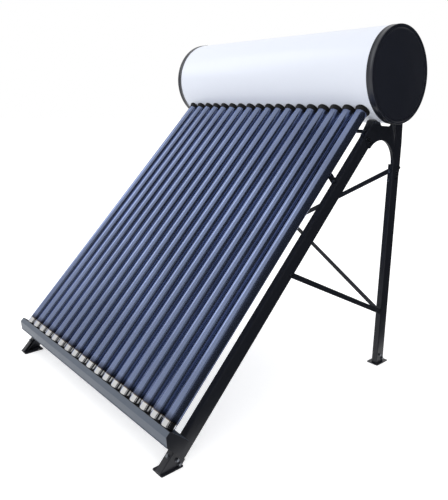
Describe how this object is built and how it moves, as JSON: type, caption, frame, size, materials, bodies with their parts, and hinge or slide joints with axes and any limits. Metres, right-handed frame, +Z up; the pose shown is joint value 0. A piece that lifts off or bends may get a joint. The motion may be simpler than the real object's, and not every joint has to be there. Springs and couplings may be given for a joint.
{
  "type": "solar water heater",
  "caption": "Vacuum-tube solar water heater: insulated round tank on a tilted angle-steel stand, with glass tubes from a tail trough up into the tank.",
  "frame": {"origin": "centre of the footprint's bounding box, on the ground plane under the feet", "axes": "+Z up, +X along the tank to the right as seen from the front, +Y from the front feet to the back; the tubes rise at 46 degrees towards +Y"},
  "size_m": [1.484, 1.5976, 1.7092],
  "materials": {
    "tube_glass": "borosilicate glass over a dark blue selective coating, mirrored at the tail",
    "seal_rubber": "matt black silicone",
    "cup_plastic": "moulded black plastic",
    "stainless": "plain rolled stainless sheet",
    "foam": "rigid cream polyurethane foam",
    "tank_enamel": "glossy pale bluish white coil-coated sheet",
    "cap_paint": "satin black",
    "frame_paint": "satin charcoal powder coat",
    "trough_paint": "satin slate grey coil-coated sheet"
  },
  "bodies": {
    "root": {"tube_seal_01": "seal_rubber", "tube_seal_02": "seal_rubber", "tube_seal_03": "seal_rubber", "tube_seal_04": "seal_rubber", "tube_seal_05": "seal_rubber", "tube_seal_06": "seal_rubber", "tube_seal_07": "seal_rubber", "tube_seal_08": "seal_rubber", "tube_seal_09": "seal_rubber", "tube_seal_10": "seal_rubber", "tube_seal_11": "seal_rubber", "tube_seal_12": "seal_rubber", "tube_seal_13": "seal_rubber", "tube_seal_14": "seal_rubber", "tube_seal_15": "seal_rubber", "tube_seal_16": "seal_rubber", "tube_seal_17": "seal_rubber", "tube_seal_18": "seal_rubber", "tail_cup_strip": "cup_plastic", "inner_tank": "stainless", "foam_insulation": "foam", "outer_shell": "tank_enamel", "end_cap_right": "cap_paint", "end_cap_left": "cap_paint", "front_rail_right": "frame_paint", "front_rail_left": "frame_paint", "rear_leg_right": "frame_paint", "rear_leg_left": "frame_paint", "arch_bracket_right": "frame_paint", "arch_bracket_left": "frame_paint", "tail_trough": "trough_paint", "front_foot_right": "frame_paint", "front_foot_left": "frame_paint", "rear_foot_right": "frame_paint", "rear_foot_left": "frame_paint", "back_diagonal_a": "frame_paint", "back_diagonal_b": "frame_paint", "side_brace_right": "frame_paint", "side_brace_left": "frame_paint", "upper_cross_bar": "frame_paint", "knee_brace_right": "frame_paint", "knee_brace_left": "frame_paint"},
    "tube_01": {"vacuum_tube_01": "tube_glass"},
    "tube_02": {"vacuum_tube_02": "tube_glass"},
    "tube_03": {"vacuum_tube_03": "tube_glass"},
    "tube_04": {"vacuum_tube_04": "tube_glass"},
    "tube_05": {"vacuum_tube_05": "tube_glass"},
    "tube_06": {"vacuum_tube_06": "tube_glass"},
    "tube_07": {"vacuum_tube_07": "tube_glass"},
    "tube_08": {"vacuum_tube_08": "tube_glass"},
    "tube_09": {"vacuum_tube_09": "tube_glass"},
    "tube_10": {"vacuum_tube_10": "tube_glass"},
    "tube_11": {"vacuum_tube_11": "tube_glass"},
    "tube_12": {"vacuum_tube_12": "tube_glass"},
    "tube_13": {"vacuum_tube_13": "tube_glass"},
    "tube_14": {"vacuum_tube_14": "tube_glass"},
    "tube_15": {"vacuum_tube_15": "tube_glass"},
    "tube_16": {"vacuum_tube_16": "tube_glass"},
    "tube_17": {"vacuum_tube_17": "tube_glass"},
    "tube_18": {"vacuum_tube_18": "tube_glass"}
  },
  "joints": [
    {"name": "tube_01_slide", "type": "slide", "parent": "root", "child": "tube_01", "axis": [0, 0.6947, 0.7193], "range_m": [0, 0.035]},
    {"name": "tube_02_slide", "type": "slide", "parent": "root", "child": "tube_02", "axis": [0, 0.6947, 0.7193], "range_m": [0, 0.035]},
    {"name": "tube_03_slide", "type": "slide", "parent": "root", "child": "tube_03", "axis": [0, 0.6947, 0.7193], "range_m": [0, 0.035]},
    {"name": "tube_04_slide", "type": "slide", "parent": "root", "child": "tube_04", "axis": [0, 0.6947, 0.7193], "range_m": [0, 0.035]},
    {"name": "tube_05_slide", "type": "slide", "parent": "root", "child": "tube_05", "axis": [0, 0.6947, 0.7193], "range_m": [0, 0.035]},
    {"name": "tube_06_slide", "type": "slide", "parent": "root", "child": "tube_06", "axis": [0, 0.6947, 0.7193], "range_m": [0, 0.035]},
    {"name": "tube_07_slide", "type": "slide", "parent": "root", "child": "tube_07", "axis": [0, 0.6947, 0.7193], "range_m": [0, 0.035]},
    {"name": "tube_08_slide", "type": "slide", "parent": "root", "child": "tube_08", "axis": [0, 0.6947, 0.7193], "range_m": [0, 0.035]},
    {"name": "tube_09_slide", "type": "slide", "parent": "root", "child": "tube_09", "axis": [0, 0.6947, 0.7193], "range_m": [0, 0.035]},
    {"name": "tube_10_slide", "type": "slide", "parent": "root", "child": "tube_10", "axis": [0, 0.6947, 0.7193], "range_m": [0, 0.035]},
    {"name": "tube_11_slide", "type": "slide", "parent": "root", "child": "tube_11", "axis": [0, 0.6947, 0.7193], "range_m": [0, 0.035]},
    {"name": "tube_12_slide", "type": "slide", "parent": "root", "child": "tube_12", "axis": [0, 0.6947, 0.7193], "range_m": [0, 0.035]},
    {"name": "tube_13_slide", "type": "slide", "parent": "root", "child": "tube_13", "axis": [0, 0.6947, 0.7193], "range_m": [0, 0.035]},
    {"name": "tube_14_slide", "type": "slide", "parent": "root", "child": "tube_14", "axis": [0, 0.6947, 0.7193], "range_m": [0, 0.035]},
    {"name": "tube_15_slide", "type": "slide", "parent": "root", "child": "tube_15", "axis": [0, 0.6947, 0.7193], "range_m": [0, 0.035]},
    {"name": "tube_16_slide", "type": "slide", "parent": "root", "child": "tube_16", "axis": [0, 0.6947, 0.7193], "range_m": [0, 0.035]},
    {"name": "tube_17_slide", "type": "slide", "parent": "root", "child": "tube_17", "axis": [0, 0.6947, 0.7193], "range_m": [0, 0.035]},
    {"name": "tube_18_slide", "type": "slide", "parent": "root", "child": "tube_18", "axis": [0, 0.6947, 0.7193], "range_m": [0, 0.035]}
  ]
}
